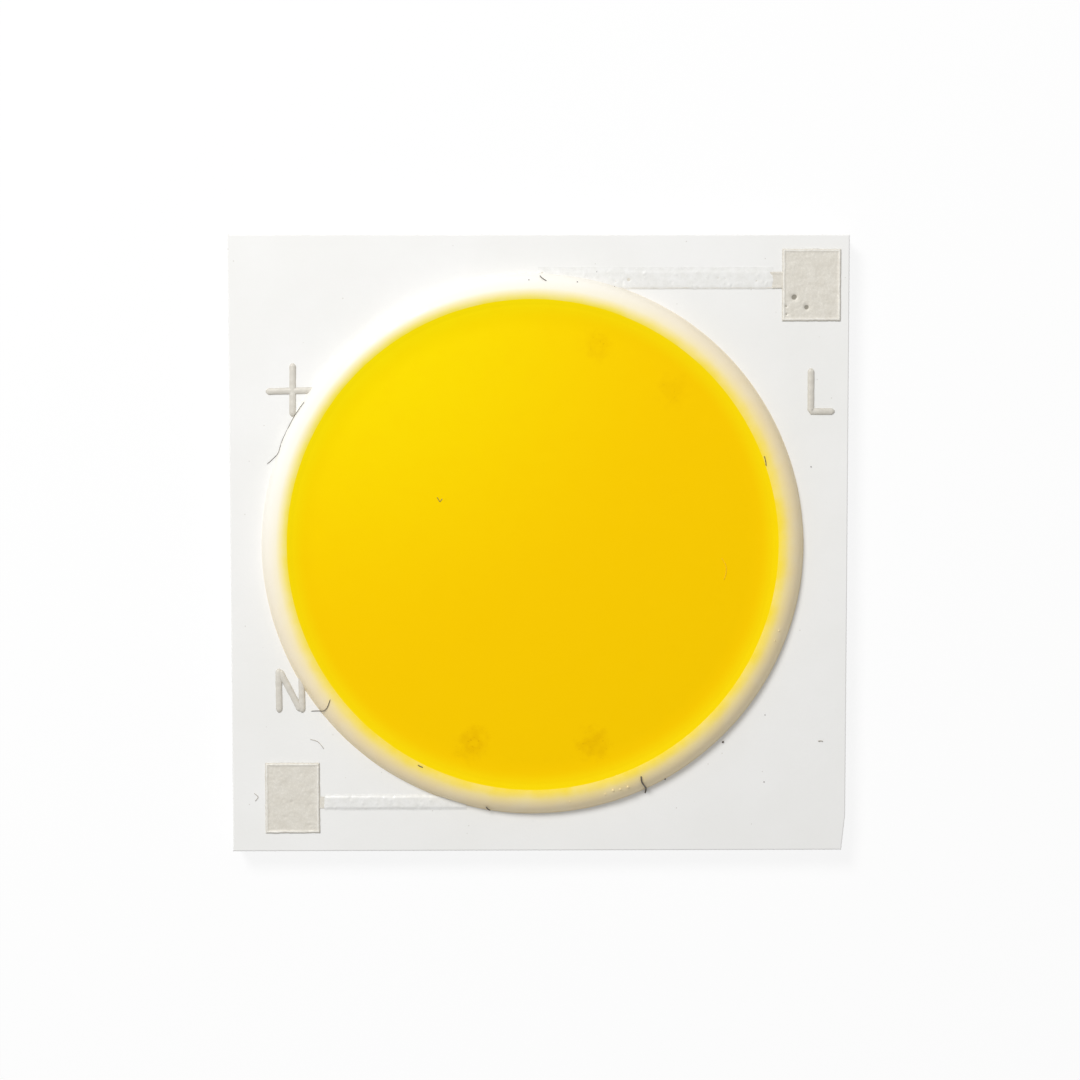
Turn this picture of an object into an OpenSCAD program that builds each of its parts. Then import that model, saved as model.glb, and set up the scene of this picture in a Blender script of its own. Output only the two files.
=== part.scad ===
// Chip-on-board LED module that runs on mains voltage without a separate driver.
// A square ceramic plate carries printed silver tracks, eleven rows of LED chips wired in one
// string, two rectifier chips and two current driver chips. A dam of white silicone rings them,
// and yellow phosphor silicone fills it.
// Origin at the centre of the plate's back face, +Z the way the light leaves, +Y the edge that
// has the line pad at its right-hand end. Millimetres.

/* [Ceramic plate] */
// Side of the square plate
plate_side = 19; // [18:0.5:28]
// Thickness of the plate
plate_t = 1; // [0.6:0.1:2]
// Width of the sliver that is broken off the lower right corner
break_w = 0.12; // [0.04:0.02:0.3]
// Length of that sliver along the right-hand edge
break_l = 1.1; // [0.3:0.1:2]

/* [Disc] */
// How far the disc sits left of the plate's centre
disc_shift = 0.2; // [0:0.05:0.4]
// Radius of the dam's crown line
dam_r = 7.68; // [7.2:0.02:7.9]
// Width of the dam's foot
dam_w = 1.24; // [1:0.02:1.4]
// Height of the dam above the plate
dam_h = 0.56; // [0.52:0.01:0.7]
// Level of the phosphor silicone above the plate
fill_h = 0.45; // [0.42:0.01:0.47]
// How far inside the crown line the silicone's edge ends
fill_edge = 0.18; // [0.14:0.01:0.26]
// Angle at which the silicone's thin edge meets the dam
fill_contact = 6; // [4:1:10]

/* [Solder pads] */
// Width of the line pad
line_pad_w = 1.79; // [1.2:0.01:2]
// Width of the neutral pad
neutral_pad_w = 1.68; // [1.2:0.01:2]
// Length of both pads
pad_l = 2.19; // [1.5:0.01:2.4]
// Thickness of both pads, which are printed twice
pad_t = 0.04; // [0.03:0.01:0.06]
// Margin from the line pad to the plate's right-hand edge
line_pad_right = 0.28; // [0.15:0.01:0.6]
// Margin from the line pad to the plate's top edge
line_pad_top = 0.45; // [0.3:0.01:0.8]
// Margin from the neutral pad to the plate's left-hand edge
neutral_pad_left = 1.02; // [0.3:0.01:1.2]
// Margin from the neutral pad to the plate's bottom edge
neutral_pad_bottom = 0.58; // [0.3:0.01:0.8]

/* [Silver tracks] */
// Thickness of a printed track
track_t = 0.02; // [0.01:0.005:0.025]
// Width of the line track
line_track_w = 0.5; // [0.3:0.01:0.6]
// Width of the neutral track
neutral_track_w = 0.36; // [0.3:0.01:0.5]
// How far the line track runs above the middle of its pad
line_track_up = 0.15; // [0:0.01:0.3]
// How far the neutral track runs below the middle of its pad
neutral_track_down = 0.14; // [0:0.01:0.3]
// How far right of the disc's centre the line track enters the dam
line_entry = 0.51; // [0.45:0.01:0.7]
// How far left of the disc's centre the neutral track enters the dam
neutral_entry = 2.3; // [2:0.1:3]
// How far left of the disc's centre the neutral track's bond land lies
neutral_land = 0.36; // [0.3:0.01:0.5]
// Width of silver that shows inside the dam for the bond wires
bond_strip = 0.3; // [0.2:0.01:0.35]
// Width of the minus rail that the dam covers
rail_cover = 0.32; // [0.2:0.01:0.4]
// How far outside the dam's crown line the neutral track runs round it
neutral_ring_out = 0.1; // [0.05:0.01:0.15]

/* [Glaze] */
// Thickness of the white glaze over a track
glaze_t = 0.03; // [0.015:0.005:0.04]
// Width of the glaze over the line track
line_glaze_w = 0.67; // [0.6:0.01:0.8]
// Width of the glaze over the neutral track
neutral_glaze_w = 0.48; // [0.44:0.01:0.6]
// How far the glaze over the line track is printed off its middle
line_glaze_off = 0.06; // [0:0.01:0.08]
// Bare length of track between a pad and its glaze
glaze_gap = 0.28; // [0.1:0.01:0.5]

/* [LED chips] */
// Length of an LED chip, along its row
led_l = 0.89; // [0.6:0.01:0.95]
// Width of an LED chip
led_w = 0.56; // [0.4:0.01:0.65]
// Thickness of an LED chip
led_t = 0.14; // [0.1:0.01:0.16]
// Pitch of the chips in a row
led_pitch = 1.25; // [1.2:0.01:1.35]
// Pitch of the rows
row_pitch = 0.95; // [0.85:0.01:1]
// Distance of a chip's bond spot from its end
led_bond_in = 0.11; // [0.08:0.01:0.15]

/* [Power chips] */
// Side of a rectifier or driver chip
chip_side = 1; // [0.8:0.05:1.1]
// Thickness of a rectifier or driver chip
chip_t = 0.15; // [0.1:0.01:0.16]
// Distance from the dam's foot in to the middle of these chips
chip_inset = 0.7; // [0.65:0.01:0.75]
// Direction of the left driver chip and, mirrored, of the right one
driver_dir = 253; // [250:1:256]
// Direction of the plus rectifier chip
plus_dir = 72; // [70:1:73]
// Direction of the minus rectifier chip
minus_dir = 48; // [44:1:50]
// Margin of the silver land round such a chip
land_margin = 0.1; // [0.06:0.01:0.14]
// Distance of a bond spot from the chip's middle lines
chip_bond = 0.28; // [0.2:0.01:0.32]

/* [Adhesive and bond wires] */
// Thickness of the adhesive under a chip
glue_t = 0.02; // [0.01:0.005:0.03]
// How far the adhesive squeezes out round a chip
glue_out = 0.03; // [0.01:0.01:0.05]
// Diameter of a gold bond wire
wire_d = 0.025; // [0.02:0.005:0.03]
// Height of the arch of a wire between two LED chips
led_arch = 0.14; // [0.08:0.01:0.16]
// Height of the arch of a longer wire
long_arch = 0.16; // [0.1:0.01:0.18]
// Diameter of a wire's bonded foot
foot_d = 0.09; // [0.07:0.01:0.1]
// Height of a wire's bonded foot
foot_h = 0.04; // [0.035:0.005:0.045]

/* [Hidden] */
row_count = 11;
// Facets round a bond wire, which is too fine to need more
wire_sides = 8;
$fn = 96;
// Overlap of shapes that are cut or joined, so that no two faces meet edge to edge
eps = 0.01;

// Places that follow from the sizes above
half = plate_side / 2;
disc_x = -disc_shift;
dam_in_r = dam_r - dam_w / 2;
rail_in_r = dam_in_r - bond_strip;
rail_out_r = dam_in_r + rail_cover;
// The dam's cross-section is a circle cut off by the plate
bead_r = (dam_w * dam_w / 4 + dam_h * dam_h) / (2 * dam_h);
bead_z = dam_h - bead_r;
// The silicone's top is level, and climbs along an arc to its edge on the dam's inner slope
fill_r = dam_r - fill_edge;
fill_edge_h = bead_z + sqrt(bead_r * bead_r - fill_edge * fill_edge);
climb_angle = asin(fill_edge / bead_r) - fill_contact;
climb_w = (fill_edge_h - fill_h) / tan(climb_angle / 2);
climb_r = climb_w / sin(climb_angle);
// The two pads and the tracks that leave them
line_pad_x = half - line_pad_right - line_pad_w;
line_pad_y = half - line_pad_top - pad_l;
neutral_pad_x = -half + neutral_pad_left;
neutral_pad_y = -half + neutral_pad_bottom;
line_track_y = line_pad_y + pad_l / 2 + line_track_up;
neutral_track_y = neutral_pad_y + pad_l / 2 - neutral_track_down;
line_leg_x = disc_x + line_entry;
neutral_leg_x = disc_x - neutral_entry;
neutral_ring_r = dam_r + neutral_ring_out;
// The chips stand on adhesive, and the LED chips keep clear of the power chips' lands
chip_ring_r = dam_in_r - chip_inset;
land_side = chip_side + 2 * land_margin;
array_r = chip_ring_r - land_side / 2 - land_margin;
led_top = glue_t + led_t;
chip_base = track_t + glue_t;
chip_top = chip_base + chip_t;
led_bond_x = led_l / 2 - led_bond_in;
right_driver_dir = 540 - driver_dir;
// The rail reaches past the left driver chip's land by this angle
rail_end = land_side / 2 / chip_ring_r * 180 / PI + 1;
plus_tail = 10;
plus_tail_w = 0.5;

// Place of a point given by its radius and direction from the disc's centre
function polar(r, dir) = [disc_x + r * cos(dir), r * sin(dir)];
// Place of a power chip's bond spot: out is +1 outwards, turn is +1 anticlockwise
function chip_spot(dir, out, turn) = polar(chip_ring_r, dir)
    + chip_bond * (out * [cos(dir), sin(dir)] + turn * [-sin(dir), cos(dir)]);

// Rows are counted from the top, and chips in a row from the left
function row_y(k) = ((row_count - 1) / 2 - k) * row_pitch;
function row_half(k) = sqrt(max(0, pow(array_r, 2) - pow(abs(row_y(k)) + led_w / 2, 2)))
    - led_l / 2;
function row_chips(k) = max(2, 1 + floor(2 * row_half(k) / led_pitch));
function led_at(k, i) = [disc_x + (i - (row_chips(k) - 1) / 2) * led_pitch, row_y(k)];
// Bond spot of a chip: side is -1 for its left end and +1 for its right end
function led_spot(k, i, side) = led_at(k, i) + [side * led_bond_x, 0];
function row_end(k, side) = led_spot(k, side < 0 ? 0 : row_chips(k) - 1, side);

// Point on a surface that lies h above the plate, at half a foot's height
function foot(p, h) = [p.x, p.y, plate_t + h + foot_h / 2];

// --- shapes that repeat ---

// Flat strip on the plate from corner a to corner b
module strip(a, b, t) {
    low = [min(a.x, b.x), min(a.y, b.y)];
    high = [max(a.x, b.x), max(a.y, b.y)];
    translate([low.x, low.y, plate_t]) cube([high.x - low.x, high.y - low.y, t]);
}

// Flat arc on the plate about the disc's centre, of middle radius r
module arc_strip(r, w, from, to, t) {
    translate([disc_x, 0, plate_t]) rotate([0, 0, from])
        rotate_extrude(angle = to - from) translate([r - w / 2, 0]) square([w, t]);
}

// Square block on the ring of power chips, turned to face outwards
module ring_block(dir, side, h, t) {
    p = polar(chip_ring_r, dir);
    translate([p.x, p.y, plate_t + h + t / 2]) rotate([0, 0, dir]) cube([side, side, t], center = true);
}

// Gold wire arched between points a and b, with a bonded foot at each
module bond_wire(a, b, arch) {
    span = norm(b - a);
    bend_r = (span * span / 4 + arch * arch) / (2 * arch);
    half_turn = asin(span / 2 / bend_r);
    heading = atan2(b.y - a.y, b.x - a.x);
    climb = asin((b.z - a.z) / span);
    translate(a) rotate([0, -climb, heading]) translate([span / 2, 0, arch - bend_r])
        rotate([90, 0, 0]) rotate_extrude(angle = 2 * half_turn, start = 90 - half_turn)
            translate([bend_r, 0]) circle(d = wire_d, $fn = wire_sides);
    for (p = [a, b]) translate(p) cylinder(d = foot_d, h = foot_h, center = true);
}

// --- ceramic plate ---

module ceramic_plate() {
    color([0.95, 0.95, 0.94]) linear_extrude(plate_t)
        polygon([[-half, -half], [half - break_w, -half], [half, -half + break_l],
            [half, half], [-half, half]]);
}

// --- printed silver ---

module line_conductor() {
    color([0.84, 0.82, 0.78]) {
        strip([line_pad_x, line_pad_y], [line_pad_x + line_pad_w, line_pad_y + pad_l], pad_t);
        strip([line_leg_x - line_track_w / 2, line_track_y - line_track_w / 2],
            [line_pad_x + eps, line_track_y + line_track_w / 2], track_t);
        strip([line_leg_x - line_track_w / 2, rail_in_r],
            [line_leg_x + line_track_w / 2, line_track_y], track_t);
    }
}

module neutral_conductor() {
    ring_low = sqrt(pow(neutral_ring_r, 2) - pow(neutral_entry, 2));
    ring_from = acos(-neutral_land / neutral_ring_r);
    ring_to = 180 + acos(neutral_entry / neutral_ring_r);
    land_x = disc_x - neutral_land;
    w = neutral_track_w;
    color([0.84, 0.82, 0.78]) {
        strip([neutral_pad_x, neutral_pad_y],
            [neutral_pad_x + neutral_pad_w, neutral_pad_y + pad_l], pad_t);
        strip([neutral_pad_x + neutral_pad_w - eps, neutral_track_y - w / 2],
            [neutral_leg_x + w / 2, neutral_track_y + w / 2], track_t);
        strip([neutral_leg_x - w / 2, neutral_track_y], [neutral_leg_x + w / 2, -ring_low], track_t);
        arc_strip(neutral_ring_r, w, ring_from, ring_to, track_t);
        strip([land_x - w / 2, rail_in_r], [land_x + w / 2, neutral_ring_r], track_t);
    }
}

module plus_land() {
    color([0.84, 0.82, 0.78]) {
        ring_block(plus_dir, land_side, 0, track_t);
        arc_strip(chip_ring_r, plus_tail_w, plus_dir - plus_tail, plus_dir, track_t);
    }
}

module minus_rail() {
    rail_w = rail_out_r - rail_in_r;
    color([0.84, 0.82, 0.78]) {
        arc_strip(rail_in_r + rail_w / 2, rail_w, driver_dir - 360 - rail_end,
            minus_dir + rail_end, track_t);
        for (dir = [minus_dir, driver_dir, right_driver_dir])
            ring_block(dir, land_side, 0, track_t);
    }
}

// --- white glaze over the tracks ---

module line_glaze() {
    w = line_glaze_w;
    y = line_track_y + line_glaze_off;
    left = line_leg_x - line_track_w / 2 - (line_glaze_w - line_track_w) / 2;
    color([0.9, 0.9, 0.88]) difference() {
        union() {
            strip([left, y - w / 2], [line_pad_x - glaze_gap, y + w / 2], track_t + glaze_t);
            strip([left, dam_r], [left + w, y], track_t + glaze_t);
        }
        line_conductor();
    }
}

module neutral_glaze() {
    w = neutral_glaze_w;
    color([0.9, 0.9, 0.88]) difference() {
        union() {
            strip([neutral_pad_x + neutral_pad_w + glaze_gap / 2, neutral_track_y - w / 2],
                [neutral_leg_x + w / 2, neutral_track_y + w / 2], track_t + glaze_t);
            strip([neutral_leg_x - w / 2, neutral_track_y],
                [neutral_leg_x + w / 2, -sqrt(pow(dam_r, 2) - pow(neutral_entry, 2))],
                track_t + glaze_t);
        }
        neutral_conductor();
    }
}

module prints() {
    line_conductor();
    neutral_conductor();
    plus_land();
    minus_rail();
    line_glaze();
    neutral_glaze();
}

// --- silicone dam and phosphor silicone ---

module bead_circle() {
    translate([dam_r, bead_z]) circle(r = bead_r);
}

module dam_ring() {
    color([0.97, 0.95, 0.88]) difference() {
        translate([disc_x, 0, plate_t]) rotate_extrude() intersection() {
            bead_circle();
            translate([dam_r - bead_r - eps, 0]) square([2 * (bead_r + eps), dam_h + eps]);
        }
        prints();
    }
}

module phosphor_fill() {
    climb_from = fill_r - climb_w;
    color([1, 0.82, 0]) difference() {
        translate([disc_x, 0, plate_t]) rotate_extrude() difference() {
            square([fill_r + eps, dam_h]);
            translate([-eps, fill_h]) square([climb_from + eps, dam_h]);
            translate([climb_from, fill_h + climb_r]) circle(r = climb_r);
            bead_circle();
        }
        prints();
        led_chips();
        led_adhesive();
        power_chips();
        power_chip_adhesive();
        all_wires();
    }
}

// --- LED chips ---

module led_row(k) {
    color([0.75, 0.85, 0.95]) for (i = [0 : row_chips(k) - 1]) {
        p = led_at(k, i);
        translate([p.x, p.y, plate_t + glue_t + led_t / 2]) cube([led_l, led_w, led_t], center = true);
    }
}

module led_chips() {
    for (k = [0 : row_count - 1]) led_row(k);
}

module led_adhesive() {
    color([0.9, 0.9, 0.85]) for (k = [0 : row_count - 1]) for (i = [0 : row_chips(k) - 1]) {
        p = led_at(k, i);
        translate([p.x, p.y, plate_t + glue_t / 2])
            cube([led_l + 2 * glue_out, led_w + 2 * glue_out, glue_t], center = true);
    }
}

module row_wires(k) {
    color([0.95, 0.75, 0.3]) for (i = [0 : row_chips(k) - 2])
        bond_wire(foot(led_spot(k, i, 1), led_top), foot(led_spot(k, i + 1, -1), led_top), led_arch);
}

// The string runs to the left in the first row, to the right in the next, and so on
module link_wires() {
    color([0.95, 0.75, 0.3]) for (k = [0 : row_count - 2]) {
        side = k % 2 == 0 ? -1 : 1;
        bond_wire(foot(row_end(k, side), led_top), foot(row_end(k + 1, side), led_top), led_arch);
    }
}

// --- rectifier and driver chips ---

module power_chip(dir) {
    color([0.35, 0.37, 0.42]) ring_block(dir, chip_side, chip_base, chip_t);
}

module power_chips() {
    for (dir = [plus_dir, minus_dir, driver_dir, right_driver_dir]) power_chip(dir);
}

module power_chip_adhesive() {
    color([0.7, 0.7, 0.7]) for (dir = [plus_dir, minus_dir, driver_dir, right_driver_dir])
        ring_block(dir, chip_side + 2 * glue_out, track_t, glue_t);
}

// Line and neutral reach both rectifier chips, and the plus land feeds the first row
module rectifier_wires() {
    strip_r = rail_in_r + bond_strip / 2;
    tail = polar(chip_ring_r, plus_dir - plus_tail + 2);
    color([0.95, 0.75, 0.3]) {
        bond_wire(foot([line_leg_x, strip_r], track_t), foot(chip_spot(plus_dir, 1, 1), chip_top),
            long_arch);
        bond_wire(foot([disc_x - neutral_land, strip_r], track_t),
            foot(chip_spot(plus_dir, -1, 1), chip_top), long_arch);
        for (out = [-1, 1])
            bond_wire(foot(chip_spot(plus_dir, out, -1), chip_top),
                foot(chip_spot(minus_dir, out, 1), chip_top), long_arch);
        bond_wire(foot(tail, track_t), foot(row_end(0, 1), led_top), long_arch);
    }
}

// Each driver chip ends the string at one place and returns its current to the minus rail
module driver_wires() {
    strip_r = rail_in_r + bond_strip / 2;
    last = row_count - 1;
    tap = [0, -led_w / 4];
    color([0.95, 0.75, 0.3]) for (s = [-1, 1]) {
        dir = s < 0 ? driver_dir : right_driver_dir;
        bond_wire(foot(row_end(last, s) + tap, led_top), foot(chip_spot(dir, -1, s), chip_top),
            long_arch);
        bond_wire(foot(chip_spot(dir, 1, -s), chip_top),
            foot(polar(strip_r, dir - s * rail_end * 1.4), track_t), long_arch);
    }
}

module all_wires() {
    for (k = [0 : row_count - 1]) row_wires(k);
    link_wires();
    rectifier_wires();
    driver_wires();
}

ceramic_plate();
line_conductor();
neutral_conductor();
plus_land();
minus_rail();
line_glaze();
neutral_glaze();
dam_ring();
phosphor_fill();
led_row(0);  // led_row_1
led_row(1);  // led_row_2
led_row(2);  // led_row_3
led_row(3);  // led_row_4
led_row(4);  // led_row_5
led_row(5);  // led_row_6
led_row(6);  // led_row_7
led_row(7);  // led_row_8
led_row(8);  // led_row_9
led_row(9);  // led_row_10
led_row(10);  // led_row_11
row_wires(0);  // row_wires_1
row_wires(1);  // row_wires_2
row_wires(2);  // row_wires_3
row_wires(3);  // row_wires_4
row_wires(4);  // row_wires_5
row_wires(5);  // row_wires_6
row_wires(6);  // row_wires_7
row_wires(7);  // row_wires_8
row_wires(8);  // row_wires_9
row_wires(9);  // row_wires_10
row_wires(10);  // row_wires_11
link_wires();
led_adhesive();
power_chip(plus_dir);  // rectifier_chip_plus
power_chip(minus_dir);  // rectifier_chip_minus
power_chip(driver_dir);  // driver_chip_left
power_chip(right_driver_dir);  // driver_chip_right
power_chip_adhesive();
rectifier_wires();
driver_wires();
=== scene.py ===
"""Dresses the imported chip-on-board LED module: alumina plate, printed silver, glaze, dam and phosphor.

Lengths in this script are millimetres in the module's own frame, and MM turns them into metres.
"""
import math

import bpy
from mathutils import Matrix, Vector, noise


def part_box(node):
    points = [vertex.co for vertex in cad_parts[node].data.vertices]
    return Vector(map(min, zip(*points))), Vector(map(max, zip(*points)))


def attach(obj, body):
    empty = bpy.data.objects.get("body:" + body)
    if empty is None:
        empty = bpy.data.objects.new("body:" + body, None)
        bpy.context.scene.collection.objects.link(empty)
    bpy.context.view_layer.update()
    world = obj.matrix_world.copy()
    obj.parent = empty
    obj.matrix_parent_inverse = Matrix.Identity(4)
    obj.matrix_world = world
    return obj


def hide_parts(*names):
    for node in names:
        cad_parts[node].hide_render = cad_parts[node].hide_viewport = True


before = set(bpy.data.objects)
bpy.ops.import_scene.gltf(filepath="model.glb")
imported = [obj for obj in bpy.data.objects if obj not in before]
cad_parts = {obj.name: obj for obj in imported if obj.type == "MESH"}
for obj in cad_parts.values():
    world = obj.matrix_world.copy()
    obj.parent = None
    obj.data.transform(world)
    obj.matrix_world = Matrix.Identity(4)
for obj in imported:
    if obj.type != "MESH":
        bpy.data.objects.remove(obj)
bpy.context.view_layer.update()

MM = 0.001


# --- sizes and places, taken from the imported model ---

def box_mm(node):
    """Lowest and highest corner of a CAD node, in millimetres."""
    low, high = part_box(node)
    return Vector(low) / MM, Vector(high) / MM


PLATE_LOW, PLATE_HIGH = box_mm("ceramic_plate")
DAM_LOW, DAM_HIGH = box_mm("dam_ring")
FILL_LOW, FILL_HIGH = box_mm("phosphor_fill")
LINE_LOW, LINE_HIGH = box_mm("line_conductor")
NEUTRAL_LOW, NEUTRAL_HIGH = box_mm("neutral_conductor")
LINE_GLAZE_LOW, LINE_GLAZE_HIGH = box_mm("line_glaze")
NEUTRAL_GLAZE_LOW, NEUTRAL_GLAZE_HIGH = box_mm("neutral_glaze")

TOP = PLATE_HIGH.z
DISC_X = (DAM_LOW.x + DAM_HIGH.x) / 2
DISC_Y = (DAM_LOW.y + DAM_HIGH.y) / 2
DAM_FOOT_W = 1.24
DAM_OUT_R = (DAM_HIGH.x - DAM_LOW.x) / 2
DAM_R = DAM_OUT_R - DAM_FOOT_W / 2
DAM_H = DAM_HIGH.z - TOP
BEAD_R = (DAM_FOOT_W ** 2 / 4 + DAM_H ** 2) / (2 * DAM_H)
BEAD_Z = DAM_H - BEAD_R
FILL_R = (FILL_HIGH.x - FILL_LOW.x) / 2
FILL_LEVEL = 0.45
FILL_CREASE_R = FILL_R - 0.17

LINE_PAD_W, NEUTRAL_PAD_W, PAD_L = 1.79, 1.68, 2.19
LINE_TRACK_W, NEUTRAL_TRACK_W, TRACK_T = 0.5, 0.36, 0.02
LINE_GLAZE_W, NEUTRAL_GLAZE_W = 0.67, 0.48
BREAK_W, BREAK_L, BEVEL = 0.12, 1.1, 0.03
# How far each track lies from the middle of its glaze or pad
LINE_TRACK_DROP, NEUTRAL_TRACK_DROP = 0.06, 0.14
LINE_TRACK_Y = LINE_GLAZE_HIGH.y - LINE_GLAZE_W / 2 - LINE_TRACK_DROP
LINE_PAD_LOW_Y = LINE_HIGH.y - PAD_L
NEUTRAL_TRACK_Y = NEUTRAL_LOW.y + PAD_L / 2 - NEUTRAL_TRACK_DROP
PAD_T = 0.04
# Power chips under the phosphor: direction in degrees, and how strongly each one shows
HIDDEN_CHIPS = [(253, 1.0), (287, 1.0), (72, 0.45), (48, 0.4)]
CHIP_RING_R = 6.36
# Point beyond the upper left, towards the key lamp, from which the phosphor and the dam deepen in colour:
# painted light and shade, paler on the lit side
LIT_SIDE = (DISC_X - 6.5, DISC_Y + 9.0)
# Small swellings of the bead: direction in degrees, spread in radians, height
DAM_LUMPS = [(289, 0.012, 0.03), (291.2, 0.01, 0.025), (287.4, 0.012, 0.02), (152, 0.05, 0.018)]


# --- meshes ---

def mesh_piece(name, verts, faces, material):
    """A piece of the object, given in millimetres, that rides on the module's one body."""
    mesh = bpy.data.meshes.new(name)
    mesh.from_pydata([tuple(c * MM for c in v) for v in verts], [], faces)
    mesh.validate()
    for polygon in mesh.polygons:
        polygon.use_smooth = True
    obj = bpy.data.objects.new(name, mesh)
    bpy.context.scene.collection.objects.link(obj)
    mesh.materials.append(material)
    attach(obj, "root")
    return obj


def sharpen(obj, degrees=35):
    """Keeps edges crisp where faces meet at more than the given angle."""
    obj.data.set_sharp_from_angle(angle=math.radians(degrees))


def wobble(x, y, z=0.0, size=1.0):
    """Smooth noise from about -1 to 1 that changes over lengths of size."""
    return noise.noise(Vector((x / size, y / size, z)))


def smoothstep(low, high, value):
    t = min(1.0, max(0.0, (value - low) / (high - low)))
    return t * t * (3 - 2 * t)


class Builder:
    """Collects closed shapes into one mesh."""

    def __init__(self):
        self.verts, self.faces = [], []

    def ring_stack(self, rings):
        """Rings of equal length, from the bottom up, joined by quads and closed at both ends."""
        n, base = len(rings[0]), len(self.verts)
        for ring in rings:
            self.verts.extend(ring)
        for k in range(len(rings) - 1):
            for i in range(n):
                a, b = base + k * n + i, base + k * n + (i + 1) % n
                self.faces.append((a, b, b + n, a + n))
        self.faces.append(tuple(base + i for i in reversed(range(n))))
        last = base + (len(rings) - 1) * n
        self.faces.append(tuple(last + i for i in range(n)))

    def slab(self, low, high, z0, z1):
        """Plain closed block between two corners."""
        ring = [(low[0], low[1]), (high[0], low[1]), (high[0], high[1]), (low[0], high[1])]
        self.ring_stack([[(x, y, z) for x, y in ring] for z in (z0, z1)])

    def relief(self, low, high, step, z0, height, ragged=0.0):
        """Closed slab on a grid, whose top is z0 + height(x, y) and whose outline is ragged."""
        nx = max(2, round((high[0] - low[0]) / step))
        ny = max(2, round((high[1] - low[1]) / step))
        base = len(self.verts)

        def at(i, j):
            return base + j * (nx + 1) + i

        for j in range(ny + 1):
            for i in range(nx + 1):
                x = low[0] + (high[0] - low[0]) * i / nx
                y = low[1] + (high[1] - low[1]) * j / ny
                dx = ragged * (wobble(x, y, 3, 0.12) + wobble(x, y, 4, 0.4))
                dy = ragged * (wobble(x, y, 5, 0.12) + wobble(x, y, 6, 0.4))
                self.verts.append((x + dx, y + dy, z0 + height(x, y)))
        for j in range(ny):
            for i in range(nx):
                self.faces.append((at(i, j), at(i + 1, j), at(i + 1, j + 1), at(i, j + 1)))
        rim = [at(i, 0) for i in range(nx)] + [at(nx, j) for j in range(ny)]
        rim += [at(i, ny) for i in range(nx, 0, -1)] + [at(0, j) for j in range(ny, 0, -1)]
        foot = len(self.verts)
        for v in rim:
            x, y, _ = self.verts[v]
            self.verts.append((x, y, z0))
        n = len(rim)
        for i in range(n):
            j = (i + 1) % n
            self.faces.append((rim[j], rim[i], foot + i, foot + j))
        self.faces.append(tuple(foot + i for i in reversed(range(n))))

    def ridge(self, points, width, height, z0, seed, step=0.035):
        """Raised stroke of half-round section along a polyline, with blunt round ends."""
        path = sample_polyline(points, step)
        total = len(path) - 1
        across = 12
        rings = []
        for k, (p, d) in enumerate(path):
            along = k * step
            end = min(along, total * step - along) + 0.3 * step
            taper = math.sqrt(min(1.0, end / (width / 2)))
            w = width / 2 * taper * (1 + 0.08 * wobble(along, seed, 0, 0.2))
            h = height * taper * (1 + 0.18 * wobble(along, seed, 7, 0.15))
            side = Vector((-d.y, d.x))
            ring = []
            for a in range(across + 1):
                t = math.pi * a / across
                q = p + side * (w * math.cos(t))
                ring.append((q.x, q.y, z0 + h * math.sin(t) ** 0.8))
            rings.append(ring)
        self.ring_stack([list(r) for r in rings])

    def tube(self, points, radius, sides=8):
        """Round tube along a list of 3-D points."""
        pts = [Vector(p) for p in points]
        rings = []
        for k, p in enumerate(pts):
            d = (pts[min(k + 1, len(pts) - 1)] - pts[max(k - 1, 0)]).normalized()
            u = d.cross(Vector((0, 0, 1))).normalized()
            v = u.cross(d).normalized()
            r = radius * (0.45 if k in (0, len(pts) - 1) else 1.0)
            ring = []
            for s in range(sides):
                t = 2 * math.pi * s / sides
                ring.append(tuple(p + (u * math.cos(t) + v * math.sin(t)) * r))
            rings.append(ring)
        self.ring_stack(rings)

    def blob(self, x, y, z, r, flat=0.6, seed=0):
        """Small irregular grain that sits on a surface."""
        rings = []
        for k in range(1, 6):
            t = math.pi * k / 6
            ring = []
            for s in range(10):
                a = 2 * math.pi * s / 10
                q = r * math.sin(t) * (1 + 0.35 * wobble(math.cos(a), math.sin(a), seed + k, 0.9))
                ring.append((x + q * math.cos(a), y + q * math.sin(a), z - r * flat * math.cos(t)))
            rings.append(ring)
        self.ring_stack(rings)

    def piece(self, name, slot, material):
        return mesh_piece(name, self.verts, self.faces, material)


def sample_polyline(points, step):
    """Points every step along a polyline, each with the direction of travel there."""
    out = []
    pts = [Vector(p) for p in points]
    lengths = [(b - a).length for a, b in zip(pts, pts[1:])]
    count = max(2, round(sum(lengths) / step))
    for k in range(count + 1):
        s = sum(lengths) * k / count
        for a, b, length in zip(pts, pts[1:], lengths):
            if s <= length + 1e-9 or b is pts[-1]:
                out.append((a.lerp(b, min(1.0, s / length)), (b - a).normalized()))
                break
            s -= length
    return out


def smooth_curve(points, per_span=8):
    """Catmull-Rom curve through a few points in the plane."""
    pts = [Vector(p) for p in points]
    pts = [2 * pts[0] - pts[1]] + pts + [2 * pts[-1] - pts[-2]]
    out = []
    for a, b, c, d in zip(pts, pts[1:], pts[2:], pts[3:]):
        for k in range(per_span):
            t = k / per_span
            out.append(0.5 * (2 * b + (c - a) * t + (2 * a - 5 * b + 4 * c - d) * t * t
                              + (3 * b - a - 3 * c + d) * t ** 3))
    return out + [pts[-2]]


# --- materials ---

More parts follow.
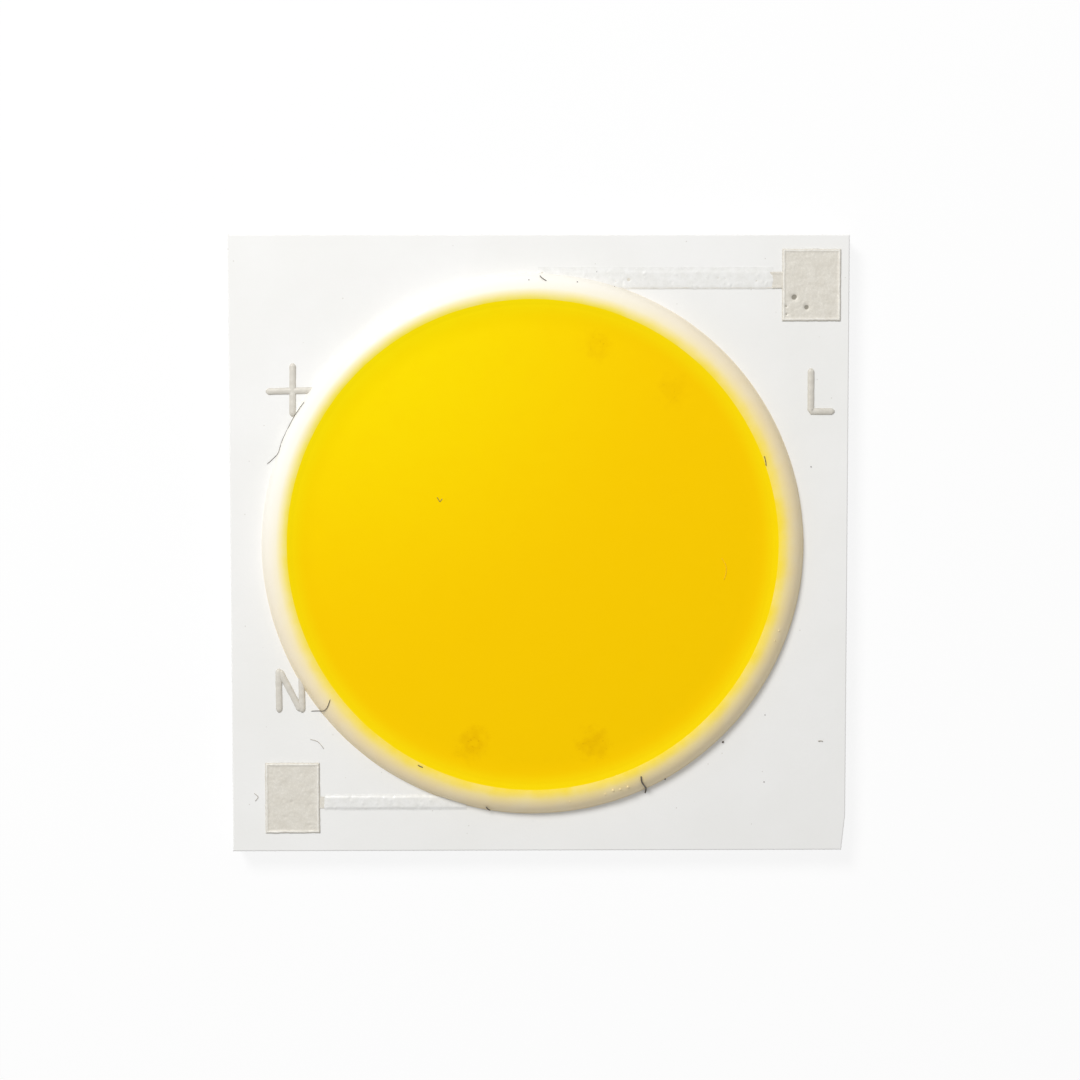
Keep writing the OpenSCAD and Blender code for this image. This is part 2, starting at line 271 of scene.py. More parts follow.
class Shader:
    """A Principled material whose patterns follow the object's own coordinates."""

    def __init__(self, name, color, roughness, specular=0.5, **sockets):
        self.material = bpy.data.materials.new(name)
        self.material.use_nodes = True
        self.nodes = self.material.node_tree.nodes
        self.links = self.material.node_tree.links
        self.bsdf = self.nodes["Principled BSDF"]
        self.coords = self.nodes.new("ShaderNodeTexCoord").outputs["Object"]
        self.set("Base Color", (*color, 1))
        self.set("Roughness", roughness)
        self.set("Specular IOR Level", specular)
        for key, value in sockets.items():
            self.set(key.replace("_", " ").title(), value)

    def set(self, socket, value):
        self.bsdf.inputs[socket].default_value = value

    def node(self, kind, values=None, **settings):
        made = self.nodes.new(kind)
        for key, value in settings.items():
            setattr(made, key, value)
        for key, value in (values or {}).items():
            if isinstance(value, bpy.types.NodeSocket):
                self.links.new(value, made.inputs[key])
            else:
                made.inputs[key].default_value = value
        return made

    def noise(self, size, detail=2.0, rough=0.5):
        """Noise whose features are about size millimetres across, from 0 to 1."""
        return self.node("ShaderNodeTexNoise", {"Vector": self.coords, "Scale": 1 / (size * MM),
                                                "Detail": detail, "Roughness": rough}).outputs[0]

    def spots(self, size):
        """Distance from the nearest of scattered points, in units of size."""
        return self.node("ShaderNodeTexVoronoi", {"Vector": self.coords,
                                                  "Scale": 1 / (size * MM)}).outputs["Distance"]

    def ramp(self, fac, stops):
        made = self.node("ShaderNodeValToRGB", {"Fac": fac})
        elements = made.color_ramp.elements
        while len(elements) < len(stops):
            elements.new(0.5)
        for element, (pos, value) in zip(elements, stops):
            element.position = pos
            element.color = (*value, 1) if isinstance(value, tuple) else (value, value, value, 1)
        return made.outputs[0]

    def math(self, operation, a, b):
        return self.node("ShaderNodeMath", {0: a, 1: b}, operation=operation).outputs[0]

    def mix(self, fac, a, b):
        """Blend of two colours. Sockets 6 and 7 are a Mix node's two colours, and output 2 its own."""
        return self.node("ShaderNodeMix", {0: fac, 6: a, 7: b}, data_type="RGBA").outputs[2]

    def rescale(self, value, low, high, out_low=0.0, out_high=1.0):
        made = self.node("ShaderNodeMapRange", {0: value, 1: low, 2: high, 3: out_low, 4: out_high})
        made.interpolation_type = "SMOOTHSTEP"
        return made.outputs[0]

    def distance_from(self, x, y):
        """Distance in the plate's plane from a point given in millimetres."""
        flat = self.node("ShaderNodeVectorMath", {0: self.coords, 1: (1, 1, 0)},
                         operation="MULTIPLY").outputs[0]
        return self.node("ShaderNodeVectorMath", {0: flat, 1: (x * MM, y * MM, 0)},
                         operation="DISTANCE").outputs["Value"]

    def height(self):
        """Height of the point above the plate's underside."""
        return self.node("ShaderNodeSeparateXYZ", {0: self.coords}).outputs["Z"]

    def color(self, output):
        self.links.new(output, self.bsdf.inputs["Base Color"])

    def roughness(self, output):
        self.links.new(output, self.bsdf.inputs["Roughness"])

    def bump(self, output, depth):
        """Relief whose full range stands depth millimetres high."""
        made = self.node("ShaderNodeBump", {"Height": output, "Distance": depth * MM,
                                            "Strength": 1.0})
        previous = self.bsdf.inputs["Normal"].links
        if previous:
            self.links.new(previous[0].from_socket, made.inputs["Normal"])
        self.links.new(made.outputs[0], self.bsdf.inputs["Normal"])


def alumina():
    """White fired ceramic with a fine grain and a few pores."""
    s = Shader("alumina", (0.91, 0.905, 0.885), 0.5, 0.35)
    cloud = s.ramp(s.noise(3.0, 3), [(0.3, (0.88, 0.875, 0.85)), (0.7, (0.912, 0.907, 0.89))])
    pores = s.rescale(s.spots(0.55), 0.02, 0.05)
    s.color(s.mix(pores, (0.72, 0.7, 0.66, 1), cloud))
    s.roughness(s.rescale(s.noise(0.2), 0.3, 0.7, 0.42, 0.6))
    s.bump(s.noise(0.06, 4, 0.6), 0.002)
    s.bump(s.noise(0.5, 2), 0.004)
    return s.material


def fired_silver(name="fired_silver", relief=False, shade=1.0):
    """Fired silver paste. With relief, raised lips get a painted highlight and deep pits painted shade.
    """
    s = Shader(name, (0.76, 0.73, 0.66), 0.55, 0.3, metallic=0.08)
    dark, light = (tuple(shade * c for c in tone) for tone in ((0.71, 0.675, 0.6), (0.8, 0.77, 0.7)))
    cloud = s.ramp(s.noise(0.35, 4, 0.65), [(0.3, dark), (0.7, light)])
    grains = s.rescale(s.spots(0.06), 0.1, 0.6, 0.0, 0.3)
    paste = s.mix(grains, cloud, (0.62, 0.58, 0.5, 1))
    if relief:
        # Painted highlight on the highest lips and painted shade in the deepest pits, both taken from
        # height.
        height = s.height()
        paste = s.mix(s.rescale(height, (TOP + 0.05) * MM, (TOP + 0.064) * MM, 0.0, 0.7),
                      paste, (0.9, 0.88, 0.83, 1))
        paste = s.mix(s.rescale(height, (TOP + 0.006) * MM, (TOP + 0.02) * MM, 0.8, 0.0),
                      paste, (0.2, 0.18, 0.14, 1))
    s.color(paste)
    s.roughness(s.rescale(s.noise(0.08, 3), 0.3, 0.7, 0.42, 0.65))
    s.bump(s.noise(0.05, 4, 0.7), 0.004)
    s.bump(s.noise(0.18, 2), 0.004)
    return s.material


def glaze():
    """Glass glaze, a little greyer and smoother than the ceramic."""
    s = Shader("track_glaze", (0.84, 0.835, 0.81), 0.3, 0.4)
    s.set("Coat Weight", 0.2)
    s.color(s.ramp(s.noise(0.25, 3), [(0.35, (0.82, 0.815, 0.785)), (0.65, (0.87, 0.866, 0.845))]))
    s.roughness(s.rescale(s.noise(0.12), 0.3, 0.7, 0.22, 0.42))
    s.bump(s.noise(0.09, 3, 0.6), 0.004)
    return s.material


def dam_silicone():
    """White silicone with painted light: a yellow glow of the phosphor's light near the fill, fading
    outwards, paler towards the lit upper left and warmer in the shade towards the lower right.
    """
    s = Shader("dam_silicone", (0.93, 0.87, 0.7), 0.36, 0.2)
    r = s.distance_from(DISC_X, DISC_Y)
    # Painted glow: the phosphor's yellow light shown through the silicone, strongest at the fill's edge
    # and fading outwards.
    share = s.rescale(r, (FILL_R - 0.05) * MM, (DAM_R + 0.45) * MM)
    # Lit and shaded copies of the silicone's colour: pale for the lit upper left, warm tan for the shaded
    # lower right.
    lit_tint = s.ramp(share, [(0.0, (1.0, 0.83, 0.04)), (0.25, (0.99, 0.87, 0.4)),
                          (0.6, (0.95, 0.915, 0.78)), (1.0, (0.92, 0.905, 0.85))])
    shaded_tint = s.ramp(share, [(0.0, (0.98, 0.74, 0.03)), (0.3, (0.97, 0.76, 0.14)),
                          (0.55, (0.96, 0.77, 0.3)), (1.0, (0.93, 0.77, 0.48))])
    # Painted light and shade: the share of the shaded colour grows away from the lit upper left.
    shaded_share = s.rescale(s.distance_from(*LIT_SIDE), 6.0 * MM, 16.0 * MM)
    glow_and_shade = s.mix(shaded_share, lit_tint, shaded_tint)
    s.color(s.mix(s.rescale(s.noise(0.6, 3), 0.25, 0.8, 0.0, 0.2), glow_and_shade, (0.94, 0.89, 0.76, 1)))
    s.roughness(s.rescale(s.noise(0.3), 0.3, 0.7, 0.3, 0.44))
    s.bump(s.noise(0.25, 3), 0.004)
    return s.material


def phosphor_silicone():
    """Phosphor layer: painted light makes it paler towards the lit upper left and deeper yellow towards
    the lower right, with faint spots over the chips.
    """
    s = Shader("phosphor_silicone", (1.0, 0.65, 0.0), 0.45, 0.03)
    r = s.distance_from(DISC_X, DISC_Y)
    lit = s.distance_from(*LIT_SIDE)
    # Painted light and shade: paler yellow near the lit upper left, deeper yellow away from it.
    body = s.mix(s.rescale(lit, 2.0 * MM, 13.0 * MM), (1.0, 0.77, 0.0, 1), (1.0, 0.625, 0.0, 1))
    rim = s.rescale(r, (FILL_R - 0.6) * MM, FILL_R * MM, 0.0, 0.55)
    tinted = s.mix(rim, body, (1.0, 0.82, 0.004, 1))
    for direction, strength in HIDDEN_CHIPS:
        a = math.radians(direction)
        x, y = DISC_X + CHIP_RING_R * math.cos(a), DISC_Y + CHIP_RING_R * math.sin(a)
        d = s.math("ADD", s.distance_from(x, y), s.rescale(s.noise(0.3, 3), 0.2, 0.8, 0, 0.4 * MM))
        near = s.rescale(d, 0.25 * MM, 0.85 * MM, 0.6 * strength, 0.0)
        core = s.rescale(d, 0.15 * MM, 0.35 * MM, 0.45, 1.0)
        tinted = s.mix(s.math("MULTIPLY", near, core), tinted, (0.84, 0.47, 0.0, 1))
        dots = s.math("MULTIPLY", near, s.rescale(s.noise(0.09, 2), 0.6, 0.72))
        tinted = s.mix(dots, tinted, (0.7, 0.36, 0.0, 1))
    s.color(s.mix(s.rescale(s.noise(0.7, 4, 0.6), 0.4, 0.8, 0.0, 0.1), tinted, (0.96, 0.58, 0.0, 1)))
    s.roughness(s.rescale(s.noise(0.4), 0.3, 0.7, 0.4, 0.55))
    s.bump(s.noise(0.07, 3, 0.6), 0.001)
    s.bump(s.noise(1.6, 2), 0.006)
    return s.material


def plain(name, low, high, size, roughness, metallic=0.0):
    """Simple mottled finish for the sealed inner pieces and for dust."""
    s = Shader(name, low, roughness, metallic=metallic)
    s.color(s.ramp(s.noise(size, 3), [(0.35, low), (0.65, high)]))
    s.bump(s.noise(size / 3, 2), 0.001)
    return s.material


ALUMINA = alumina()
SILVER = fired_silver(shade=0.88)
PAD_SILVER = fired_silver("pad_silver", relief=True)
GLAZE = glaze()
DAM = dam_silicone()
PHOSPHOR = phosphor_silicone()
GOLD = plain("bond_gold", (0.9, 0.62, 0.2), (1.0, 0.75, 0.33), 0.05, 0.25, metallic=1.0)
SAPPHIRE = plain("sapphire_chip", (0.5, 0.62, 0.75), (0.62, 0.74, 0.85), 0.3, 0.12)
SILICON = plain("silicon_chip", (0.1, 0.11, 0.14), (0.17, 0.18, 0.22), 0.2, 0.2)
ADHESIVE = plain("clear_adhesive", (0.78, 0.78, 0.72), (0.86, 0.86, 0.8), 0.2, 0.3)
EPOXY = plain("silver_epoxy", (0.45, 0.45, 0.45), (0.58, 0.58, 0.57), 0.05, 0.45, metallic=0.3)
FIBRE = plain("fibre", (0.07, 0.055, 0.045), (0.14, 0.12, 0.1), 0.1, 0.6)
AMBER = plain("amber_mark", (0.8, 0.5, 0.01), (0.88, 0.58, 0.01), 0.1, 0.5)
PALE_FIBRE = plain("pale_fibre", (0.42, 0.39, 0.35), (0.56, 0.53, 0.48), 0.1, 0.6)


# --- surfaces that other pieces lie on ---

def dam_stray(a, t):
    """How far the dispensed bead strays from its true section at angle a and section angle t."""
    x, y = math.cos(a) * 8, math.sin(a) * 8
    stray = 0.01 * wobble(x, y, 0, 2.2) + 0.004 * wobble(x, y, t, 0.7)
    for place, spread, height in DAM_LUMPS:
        turn = math.remainder(a - math.radians(place), math.tau)
        stray += height * math.exp(-(turn / spread) ** 2 - ((t - 1.3) / 0.6) ** 2)
    return stray


def bead_height(r, a=0.0):
    """Height of the dam above the plate at radius r and angle a about the disc's centre."""
    t = math.pi / 2
    for _ in range(3):
        section = BEAD_R + dam_stray(a, t)
        t = math.acos(max(-1.0, min(1.0, (r - DAM_R) / section)))
    return max(0.0, BEAD_Z + section * math.sin(t)) if abs(r - DAM_R) < DAM_FOOT_W / 2 else 0.0


def fill_height(r, a):
    """Height of the phosphor's top above the plate."""
    climb_w = 0.88
    climb = (bead_height(FILL_R, a) - FILL_LEVEL) * max(0.0, (r - FILL_R + climb_w) / climb_w) ** 2
    crease = -0.003 * math.exp(-((r - FILL_CREASE_R) / 0.025) ** 2)
    ripple = 0.003 * wobble(r * math.cos(a), r * math.sin(a), 1, 3.0)
    return FILL_LEVEL + climb + crease + ripple * (1 - (r / FILL_R) ** 4)


def surface_z(x, y):
    """Height of the plate, dam or phosphor at a point."""
    r, a = math.hypot(x - DISC_X, y - DISC_Y), math.atan2(y - DISC_Y, x - DISC_X)
    return TOP + (fill_height(r, a) if r < FILL_R else bead_height(r, a))


# --- ceramic plate ---

def plate_outline(step=0.05):
    """Points along the plate's edge with the inward direction, anticlockwise from the lower left."""
    corners = [(PLATE_LOW.x, PLATE_LOW.y), (PLATE_HIGH.x - BREAK_W, PLATE_LOW.y),
               (PLATE_HIGH.x, PLATE_LOW.y + BREAK_L), (PLATE_HIGH.x, PLATE_HIGH.y),
               (PLATE_LOW.x, PLATE_HIGH.y)]
    out = []
    for a, b in zip(corners, corners[1:] + corners[:1]):
        a, b = Vector(a), Vector(b)
        n = max(2, round((b - a).length / step))
        d = (b - a).normalized()
        for k in range(n):
            out.append((a.lerp(b, k / n), Vector((-d.y, d.x))))
    return out


def make_plate():
    """Plate with a laser-scribed upper half and a snapped lower half on its edges."""
    scribe_pitch, scribe_depth, scribed = 0.13, 0.016, 0.45
    outline = plate_outline()
    along, places = 0.0, []
    for k, (p, inward) in enumerate(outline):
        along += (p - outline[k - 1][0]).length if k else 0.0
        places.append((p, inward, along))
    rings = []
    for z in (0.0, 0.012, 0.12, 0.3, 0.5, 0.56, 0.7, 0.85, 0.975, 1.0):
        ring = []
        for p, inward, s in places:
            scallop = scribe_depth * abs(math.sin(math.pi * s / scribe_pitch))
            snapped = 0.012 + 0.012 * wobble(s, z, 2, 0.3) + 0.006 * wobble(s, z * 3, 5, 0.09)
            cut = scallop if z > 1 - scribed else snapped
            cut += BEVEL if z in (0.0, 1.0) else 0.0
            q = p + inward * cut
            ring.append((q.x, q.y, PLATE_LOW.z + z * (TOP - PLATE_LOW.z)))
        rings.append(ring)
    b = Builder()
    b.ring_stack(rings)
    plate = b.piece("plate", "alumina", ALUMINA)
    sharpen(plate, 30)
    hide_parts("ceramic_plate")


# --- printed silver ---

def pad_height(low, high, thick, pits):
    """Height of a printed pad: raised lips at its edges, a grainy middle, and a few pits."""
    def height(x, y):
        edge = min(x - low[0], high[0] - x, y - low[1], high[1] - y)
        lip = 0.022 * math.exp(-((edge - 0.05) / 0.035) ** 2)
        body = thick * smoothstep(-0.02, 0.03, edge) ** 0.5
        grain = 0.006 * wobble(x, y, 1, 0.09) + 0.006 * wobble(x, y, 2, 0.3)
        ridges = 0.005 * max(0.0, wobble(x + 0.3 * y, y, 9, 0.16)) ** 2
        hole = sum(d * math.exp(-((x - px) ** 2 + (y - py) ** 2) / r ** 2) for px, py, r, d in pits)
        return max(0.004, body + lip + grain + ridges - hole)
    return height


def make_line_silver():
    low = (LINE_HIGH.x - LINE_PAD_W, LINE_PAD_LOW_Y)
    high = (LINE_HIGH.x, LINE_HIGH.y)
    pits = [(low[0] + 0.36, low[1] + 0.72, 0.085, 0.06), (low[0] + 0.75, low[1] + 0.42, 0.08, 0.06),
            (low[0] + 0.12, low[1] + 0.45, 0.035, 0.045), (low[0] + 0.14, low[1] + 0.2, 0.03, 0.04),
            (low[0] + 0.6, low[1] + 0.6, 0.03, 0.01), (low[0] + 1.3, low[1] + 0.5, 0.05, 0.008)]
    b = Builder()
    b.relief(low, high, 0.022, TOP, pad_height(low, high, PAD_T, pits), ragged=0.008)
    half = LINE_TRACK_W / 2
    stub_low = (LINE_GLAZE_HIGH.x - 0.02, LINE_TRACK_Y - half)
    stub_high = (low[0] + 0.03, LINE_TRACK_Y + half)

    def stub_height(x, y):
        edge = min(y - stub_low[1], stub_high[1] - y)
        lip = 0.012 * math.exp(-((edge - 0.04) / 0.03) ** 2)
        return 0.024 + lip + 0.004 * wobble(x, y, 3, 0.1)

    b.relief(stub_low, stub_high, 0.025, TOP,
             stub_height, ragged=0.008)
    lap = 0.01
    b.slab((LINE_LOW.x, LINE_TRACK_Y - half), (stub_low[0] + lap, LINE_TRACK_Y + half - 0.004),
           TOP, TOP + TRACK_T)
    b.slab((LINE_LOW.x + lap / 2, LINE_LOW.y), (LINE_LOW.x + LINE_TRACK_W, LINE_TRACK_Y - half + lap),
           TOP, TOP + TRACK_T - lap / 5)
    silver = b.piece("line_silver", "silver", PAD_SILVER)
    sharpen(silver, 50)
    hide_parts("line_conductor")


def make_neutral_silver():
    low = (NEUTRAL_LOW.x, NEUTRAL_LOW.y)
    high = (NEUTRAL_LOW.x + NEUTRAL_PAD_W, NEUTRAL_LOW.y + PAD_L)
    pits = [(low[0] + 0.5, low[1] + 1.75, 0.03, 0.012), (low[0] + 0.83, low[1] + 0.98, 0.05, 0.014),
            (low[0] + 1.45, low[1] + 1.25, 0.05, 0.016), (low[0] + 1.4, low[1] + 0.9, 0.05, 0.012),
            (low[0] + 1.1, low[1] + 1.85, 0.05, 0.012), (low[0] + 1.35, low[1] + 0.25, 0.06, 0.012),
            (low[0] + 0.6, low[1] + 0.5, 0.04, 0.01), (low[0] + 0.95, low[1] + 0.6, 0.04, 0.008)]
    b = Builder()
    b.relief(low, high, 0.022, TOP, pad_height(low, high, PAD_T, pits), ragged=0.01)
    half = NEUTRAL_TRACK_W / 2
    b.slab((high[0] - 0.02, NEUTRAL_TRACK_Y - half), (NEUTRAL_GLAZE_HIGH.x, NEUTRAL_TRACK_Y + half),
           TOP, TOP + TRACK_T)
    silver = b.piece("neutral_silver", "silver", PAD_SILVER)
    sharpen(silver, 50)
    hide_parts("neutral_conductor")


# --- glaze over the tracks ---

def glaze_height(low, high, track_low, track_high, ridge, dimples):
    """Height of the glaze: thin at its edges, raised over the track, with small blisters."""
    def height(x, y):
        edge = min(x - low[0], high[0] - x, y - low[1], high[1] - y)
        body = 0.006 + 0.01 * smoothstep(0.0, 0.12, edge)
        body += ridge * smoothstep(-0.05, 0.04, min(y - track_low, track_high - y))
        body += 0.003 * wobble(x, y, 1, 0.12) + 0.003 * wobble(x, y, 2, 0.35)
        for px, py, r, d in dimples:
            q = ((x - px) ** 2 + (y - py) ** 2) / r ** 2
            if q < 9:
                body += d * math.exp(-q)
        return max(0.004, body)
    return height


def scattered(low, high, count, seed, r_low, r_high, depth):
    """Blisters and pits at fixed pseudo-random places."""
    out = []
    for k in range(count):
        u, v, w = (noise.cell(Vector((k * 1.7 + 0.31, seed + 0.5, c * 2.3))) for c in (0.2, 1.4, 2.7))
        u, v, w = ((t + 1) / 2 for t in (u, v, w))
        out.append((low[0] + u * (high[0] - low[0]), low[1] + v * (high[1] - low[1]),
                    r_low + w * (r_high - r_low), depth if k % 3 else -depth))
    return out


def make_glaze():
    """Glaze strips. Each is as wide as its CAD strip and lies over its silver track."""
    strips = [("line_track_glaze", "line_glaze", (LINE_GLAZE_LOW.x, LINE_GLAZE_HIGH.x),
               LINE_GLAZE_HIGH.y - LINE_GLAZE_W, LINE_GLAZE_HIGH.y, LINE_TRACK_Y, LINE_TRACK_W,
               0.014, 44),
              ("neutral_track_glaze", "neutral_glaze", (NEUTRAL_GLAZE_LOW.x, NEUTRAL_GLAZE_HIGH.x),
               NEUTRAL_TRACK_Y - NEUTRAL_GLAZE_W / 2, NEUTRAL_TRACK_Y + NEUTRAL_GLAZE_W / 2,
               NEUTRAL_TRACK_Y, NEUTRAL_TRACK_W, 0.024, 20)]
    for seed, (name, node, (x0, x1), y0, y1, track_y, track_w, ridge, count) in enumerate(strips):
        low, high = (x0, y0), (x1, y1)
        y_low, y_high = track_y - track_w / 2, track_y + track_w / 2
        dimples = scattered((x0, y_low), (x1, y_high), count, seed, 0.025, 0.06, 0.012)
        b = Builder()
        b.relief(low, high, 0.024, TOP, glaze_height(low, high, y_low, y_high, ridge, dimples), 0.008)
        piece = b.piece(name, "glaze", GLAZE)
        sharpen(piece, 60)
        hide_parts(node)


# --- dam and phosphor ---

def make_dam():
    """Dispensed bead of silicone, closed along its foot."""
    turns, across = 480, 40
    foot = math.asin(-BEAD_Z / BEAD_R) if BEAD_Z < 0 else -math.asin(BEAD_Z / BEAD_R)
    b = Builder()
    for i in range(turns):
        a = 2 * math.pi * i / turns
        for k in range(across + 1):
            t = foot + (math.pi - 2 * foot) * k / across
            r = BEAD_R + dam_stray(a, t)
            radius = DAM_R + r * math.cos(t)
            z = max(0.0, BEAD_Z + r * math.sin(t))
            if k == 0:
                radius += 0.03
            b.verts.append((DISC_X + radius * math.cos(a), DISC_Y + radius * math.sin(a), TOP + z))
    n = across + 1
    for i in range(turns):
        j = (i + 1) % turns
        for k in range(across):
            b.faces.append((i * n + k, j * n + k, j * n + k + 1, i * n + k + 1))
        b.faces.append((i * n + across, j * n + across, j * n, i * n))
    dam = b.piece("dam", "dam_silicone", DAM)
    sharpen(dam, 60)
    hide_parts("dam_ring")


def make_fill():
    """Phosphor layer: its underside follows the dam, and its top climbs to a thin edge on it."""
    turns, skin = 360, 0.004
    angles = [math.tau * i / turns for i in range(turns)]

    def ring(radius, height):
        return [(DISC_X + radius * math.cos(a), DISC_Y + radius * math.sin(a), TOP + height(a))
                for a in angles]

    foot_r = DAM_R - DAM_FOOT_W / 2
    rings = [ring(foot_r, lambda a: 0.0)]
    for share in (0.15, 0.35, 0.6, 0.85):
        r = foot_r + share * (FILL_R - foot_r)
        rings.append(ring(r, lambda a, r=r: min(bead_height(r, a), fill_height(r, a) - skin)))
    rings.append(ring(FILL_R, lambda a: bead_height(FILL_R, a)))
    inner = [FILL_R - 0.02 - 0.035 * k for k in range(28)]
    inner += [inner[-1] - 0.33 * (k + 1) for k in range(19)] + [0.05]
    for r in inner:
        rings.append(ring(r, lambda a, r=r: fill_height(r, a)))
    b = Builder()
    b.ring_stack(rings)
    fill = b.piece("phosphor", "phosphor_silicone", PHOSPHOR)
    sharpen(fill, 60)
    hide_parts("phosphor_fill")


# --- polarity and terminal marks ---

MARK_W, MARK_H = 0.2, 0.062


def make_marks():
    """The signs +, L and N as raised strokes of silver paste."""
    strokes = {
        "mark_plus": [[(-8.36, 4.72), (-6.76, 4.76)], [(-7.53, 5.58), (-7.55, 3.95)]],
        "mark_line": [[(8.33, 5.42), (8.33, 4.1), (9.06, 4.1)]],
        "mark_neutral": [[(-8.03, -5.16), (-8.04, -3.8)], [(-8.02, -3.84), (-7.36, -5.12)],
                         [(-7.32, -5.16), (-7.34, -3.82)]],
    }
    for k, (name, lines) in enumerate(strokes.items()):
        b = Builder()
        for j, points in enumerate(lines):
            b.ridge(points, MARK_W, MARK_H, TOP, seed=3 * k + j)
        b.piece(name, "silver", SILVER)


# --- lint and specks that lie on the module ---

def lay(points, radius):
    """Points of a fibre that lies on the plate and climbs the dam."""
    placed = []
    for p in smooth_curve(points):
        reach = 1.6 * radius
        under = max(surface_z(p.x + dx, p.y + dy) for dx in (-reach, 0, reach)
                    for dy in (-reach, 0, reach))
        placed.append((p.x, p.y, under + 0.8 * radius))
    return placed


def make_lint():
    """Fibres, specks and small lumps."""
    fibres = {
        "fibre_dam_foot": (FIBRE, 0.009, [(-7.16, 4.40), (-7.35, 4.15), (-7.57, 3.82), (-7.78, 3.42),
                                          (-7.91, 3.12), (-7.97, 2.87), (-8.16, 2.66), (-8.34, 2.50)]),
        "fibre_hook": (FIBRE, 0.011, [(-6.40, -4.68), (-6.50, -4.93), (-6.68, -5.09), (-7.05, -5.12)]),
        "fibre_curl": (PALE_FIBRE, 0.011, [(-7.09, -5.99), (-6.84, -6.08), (-6.66, -6.30)]),
        "fibre_dark": (FIBRE, 0.022, [(3.11, -7.07), (3.14, -7.26), (3.24, -7.42), (3.3, -7.54),
                                      (3.27, -7.7)]),
        "fibre_by_pad": (PALE_FIBRE, 0.011, [(-8.83, -7.67), (-8.71, -7.79), (-8.8, -7.92)]),
        "fibre_by_track": (FIBRE, 0.014, [(1.77, 8.38), (1.71, 8.23), (1.62, 8.14)]),
        "fibre_at_leg": (FIBRE, 0.014, [(0.02, 8.22), (0.1, 8.13), (0.22, 8.05)]),
        "fibre_on_dam": (FIBRE, 0.018, [(-1.65, -8.05), (-1.59, -8.14), (-1.53, -8.2)]),
        "fibre_right": (PALE_FIBRE, 0.018, [(8.63, -6.09), (8.7, -6.08), (8.78, -6.09)]),
        "fleck_on_phosphor": (FIBRE, 0.008, [(-3.12, 1.5), (-3.06, 1.4), (-3.03, 1.36), (-2.96, 1.45)]),
        "streak_on_phosphor": (FIBRE, 0.012, [(6.84, 2.74), (6.88, 2.6), (6.9, 2.44)]),
        "scratch_on_phosphor": (AMBER, 0.008, [(5.57, -0.37), (5.7, -0.61), (5.7, -0.85), (5.64, -1.04)]),
        "dash_on_phosphor": (FIBRE, 0.014, [(-3.73, -6.71), (-3.66, -6.75), (-3.58, -6.78)]),
    }
    for name, (material, radius, points) in fibres.items():
        b = Builder()
        b.tube(lay(points, radius), radius)
        b.piece(name, None, material)
    b = Builder()
    specks = [(3.89, -7.26, 0.028), (5.68, -6.11, 0.036), (8.35, 2.4, 0.018), (6.98, -5.27, 0.016),
              (-0.31, 8.08, 0.02), (1.16, 8.02, 0.022), (2.3, 7.9, 0.014), (6.96, -7.36, 0.018)]
    for k, (x, y, r) in enumerate(specks):
        b.blob(x, y, surface_z(x, y) + r * 0.3, r, seed=k)
    b.piece("specks", None, FIBRE)
    b = Builder()
    lumps = [(2.01, -7.63, 0.03), (2.25, -7.51, 0.04), (2.47, -7.48, 0.034), (2.71, -7.41, 0.042),
             (0.93, -7.86, 0.024), (7.33, -2.6, 0.03), (7.2, -2.9, 0.024)]
    for k, (x, y, r) in enumerate(lumps):
        b.blob(x, y, surface_z(x, y), r, flat=0.9, seed=20 + k)
    b.piece("dam_lumps", "dam_silicone", DAM)


# --- carried-over CAD nodes ---

def finish_cad_nodes():
    finishes = {"plus_land": SILVER, "minus_rail": SILVER, "led_adhesive": ADHESIVE,
                "power_chip_adhesive": EPOXY}
    for name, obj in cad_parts.items():
        material = finishes.get(name)
        if not material and name.startswith("led_row"):
            material = SAPPHIRE
        if not material and "wires" in name:
            material = GOLD
        if not material and "chip" in name:
            material = SILICON
        if material:
            obj.data.materials.clear()
            obj.data.materials.append(material)


# --- camera, lamps and floor ---

def make_camera():
    """Looks almost straight down from 60 mm, as in the photograph."""
    data = bpy.data.cameras.new("camera")
    data.sensor_width, data.lens = 36, 64.06
    data.clip_start, data.clip_end = 0.001, 10
    camera = bpy.data.objects.new("camera", data)
    camera.location = (-0.00049, 0.00346, 0.0600)
    camera.rotation_euler = tuple(math.radians(a) for a in (-3.2, -0.5, -0.05))
    bpy.context.scene.collection.objects.link(camera)
    bpy.context.scene.camera = camera


def make_lamp(name, azimuth, elevation, distance, size, watts):
    """Soft round lamp that faces the module. Angles are in degrees, distance and size in metres."""
    data = bpy.data.lights.new(name, "AREA")
    data.shape, data.size, data.energy = "DISK", size, watts
    lamp = bpy.data.objects.new(name, data)
    a, e = math.radians(azimuth), math.radians(elevation)
    direction = Vector((math.cos(a) * math.cos(e), math.sin(a) * math.cos(e), math.sin(e)))
    lamp.location = direction * distance
    lamp.rotation_euler = (-direction).to_track_quat("-Z", "Y").to_euler()
    bpy.context.scene.collection.objects.link(lamp)


def seen_rays(tree):
    """1 for rays that show the background: from the camera, a reflection or through glass."""
    path = tree.nodes.new("ShaderNodeLightPath")
    seen = path.outputs["Is Camera Ray"]
    for ray in ("Is Glossy Ray", "Is Transmission Ray"):
        either = tree.nodes.new("ShaderNodeMath")
        either.operation = "MAXIMUM"
        tree.links.new(seen, either.inputs[0])
        tree.links.new(path.outputs[ray], either.inputs[1])
        seen = either.outputs[0]
    return seen


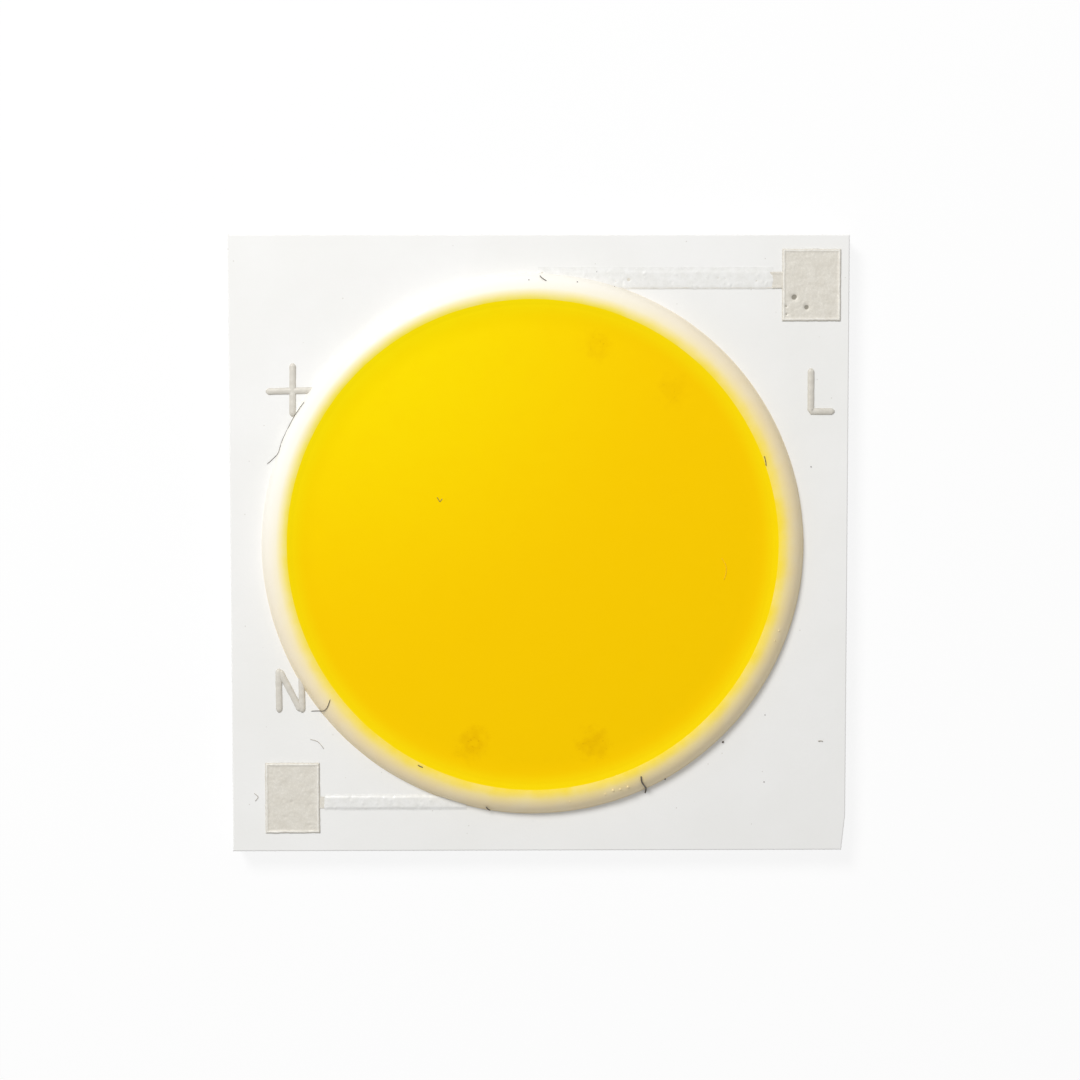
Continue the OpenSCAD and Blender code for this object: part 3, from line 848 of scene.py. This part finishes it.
def make_stage(size=2.0, whitened=0.86):
    """White floor that keeps a light shadow of the module."""
    z = PLATE_LOW.z * MM
    mesh = bpy.data.meshes.new("floor")
    mesh.from_pydata([(-size, -size, z), (size, -size, z), (size, size, z), (-size, size, z)], [],
                     [(0, 1, 2, 3)])
    floor = bpy.data.objects.new("floor", mesh)
    bpy.context.scene.collection.objects.link(floor)
    material = bpy.data.materials.new("floor_white")
    material.use_nodes = True
    tree = material.node_tree
    matt = tree.nodes["Principled BSDF"]
    matt.inputs["Base Color"].default_value = (0.97, 0.97, 0.97, 1)
    matt.inputs["Roughness"].default_value = 0.9
    matt.inputs["Specular IOR Level"].default_value = 0.0
    glow = tree.nodes.new("ShaderNodeEmission")
    share = tree.nodes.new("ShaderNodeMath")
    share.operation = "MULTIPLY"
    share.inputs[1].default_value = whitened
    tree.links.new(seen_rays(tree), share.inputs[0])
    mix = tree.nodes.new("ShaderNodeMixShader")
    tree.links.new(share.outputs[0], mix.inputs[0])
    tree.links.new(matt.outputs[0], mix.inputs[1])
    tree.links.new(glow.outputs[0], mix.inputs[2])
    tree.links.new(mix.outputs[0], tree.nodes["Material Output"].inputs["Surface"])
    mesh.materials.append(material)


def make_world(level=0.41):
    """Even studio light, which shows as white behind the module."""
    world = bpy.data.worlds.new("studio")
    bpy.context.scene.world = world
    world.use_nodes = True
    tree = world.node_tree
    mix = tree.nodes.new("ShaderNodeMix")
    mix.data_type = "FLOAT"
    mix.inputs[2].default_value = level
    mix.inputs[3].default_value = 1.0
    tree.links.new(seen_rays(tree), mix.inputs[0])
    tree.links.new(mix.outputs[0], tree.nodes["Background"].inputs["Strength"])
    tree.nodes["Background"].inputs["Color"].default_value = (1, 1, 1, 1)


make_camera()
make_plate()
make_line_silver()
make_neutral_silver()
make_glaze()
make_dam()
make_fill()
make_marks()
make_lint()
finish_cad_nodes()
make_stage()
make_world()
make_lamp("key", azimuth=125, elevation=49, distance=0.15, size=0.05, watts=0.158)
bpy.context.scene.view_settings.view_transform = "Standard"
